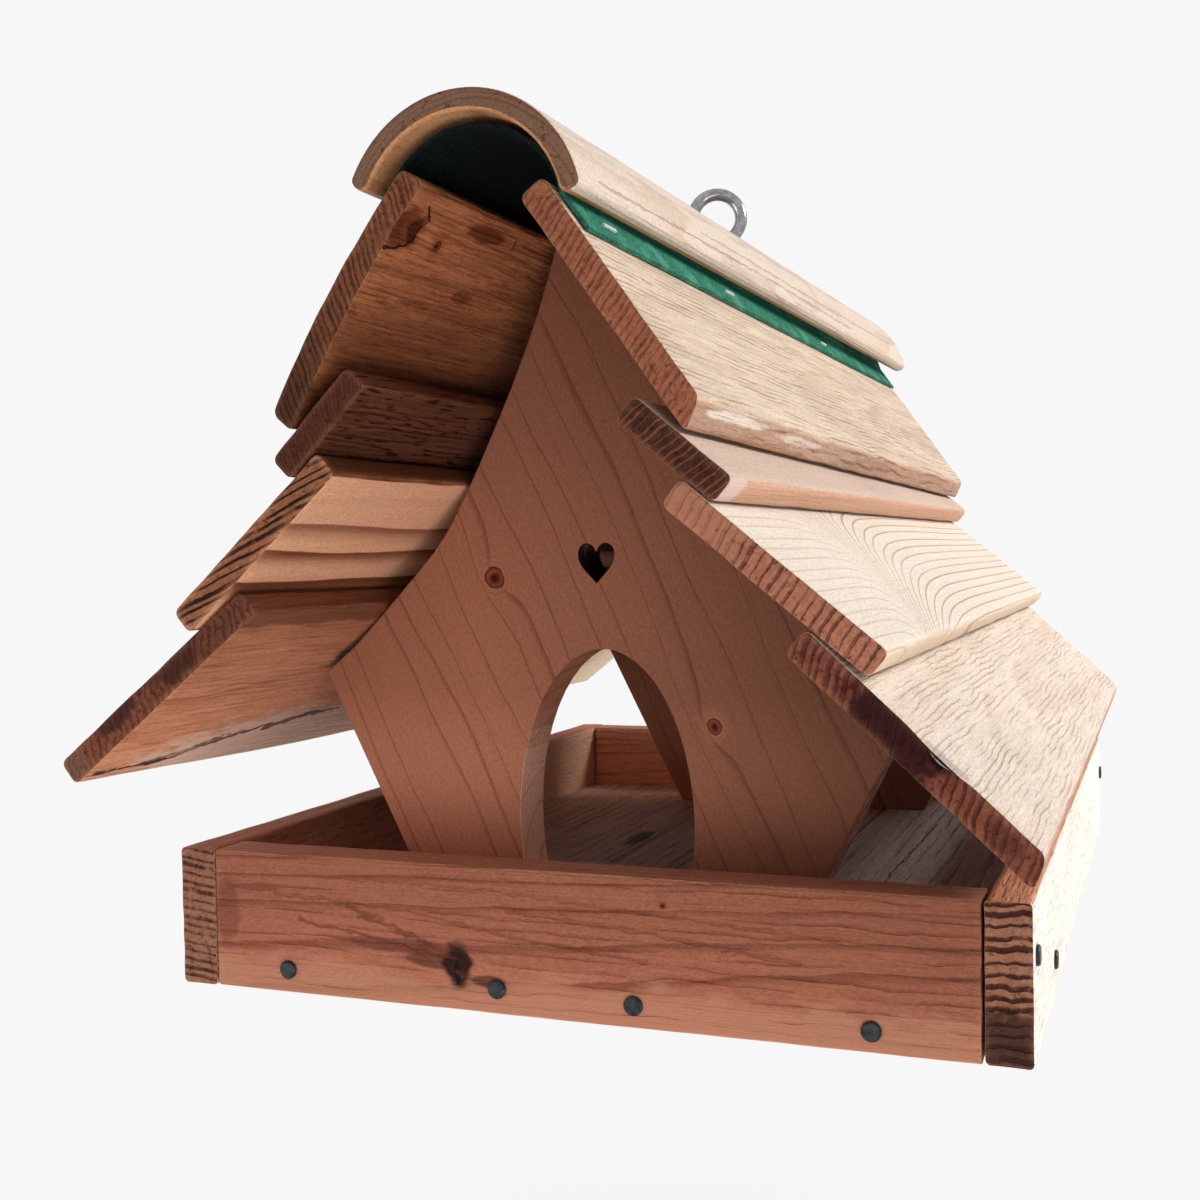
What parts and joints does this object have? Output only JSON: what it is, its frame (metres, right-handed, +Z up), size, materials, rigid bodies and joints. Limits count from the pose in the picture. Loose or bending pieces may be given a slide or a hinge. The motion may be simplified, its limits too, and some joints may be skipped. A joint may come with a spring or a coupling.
{
  "type": "hanging bird table with roof",
  "caption": "Wooden hanging bird table: open tray, pointed gables with oval doorways and hearts, lapped board roof, half-round ridge cap and a screw eye.",
  "frame": {"origin": "centre of the underside of the tray", "axes": "+X to the right seen from the front, +Y from the front gable to the back gable along the ridge, +Z up"},
  "size_m": [0.3233, 0.463, 0.3182],
  "materials": {
    "stained_wood": "planed softwood with a reddish brown stain, weathered",
    "roof_board": "rough sawn softwood boards, pale brown stain, darker cut ends",
    "ridge_cap": "smooth half-round wooden cap with a satin stain",
    "ridge_sheet": "bent green roofing sheet, matt",
    "nail": "dark round heads, dull",
    "bright_steel": "bright plated steel"
  },
  "bodies": {
    "root": {"front_rail": "stained_wood", "back_rail": "stained_wood", "left_rail": "stained_wood", "right_rail": "stained_wood", "floor_left": "stained_wood", "floor_middle": "stained_wood", "floor_right": "stained_wood", "gable_front": "stained_wood", "gable_back": "stained_wood", "ridge_beam": "stained_wood", "roof_left_1": "roof_board", "roof_left_2": "roof_board", "roof_left_3": "roof_board", "roof_left_4": "roof_board", "roof_right_1": "roof_board", "roof_right_2": "roof_board", "roof_right_3": "roof_board", "roof_right_4": "roof_board", "ridge_sheet": "ridge_sheet", "ridge_cap": "ridge_cap", "screw_eye": "bright_steel", "nail_front_1": "nail", "nail_front_2": "nail", "nail_front_3": "nail", "nail_front_4": "nail", "nail_back_1": "nail", "nail_back_2": "nail", "nail_back_3": "nail", "nail_back_4": "nail", "nail_left_1": "nail", "nail_left_2": "nail", "nail_left_3": "nail", "nail_right_1": "nail", "nail_right_2": "nail", "nail_right_3": "nail", "staple_left_1": "bright_steel", "staple_left_2": "bright_steel", "staple_left_3": "bright_steel", "staple_right_1": "bright_steel", "staple_right_2": "bright_steel", "staple_right_3": "bright_steel"}
  },
  "joints": []
}
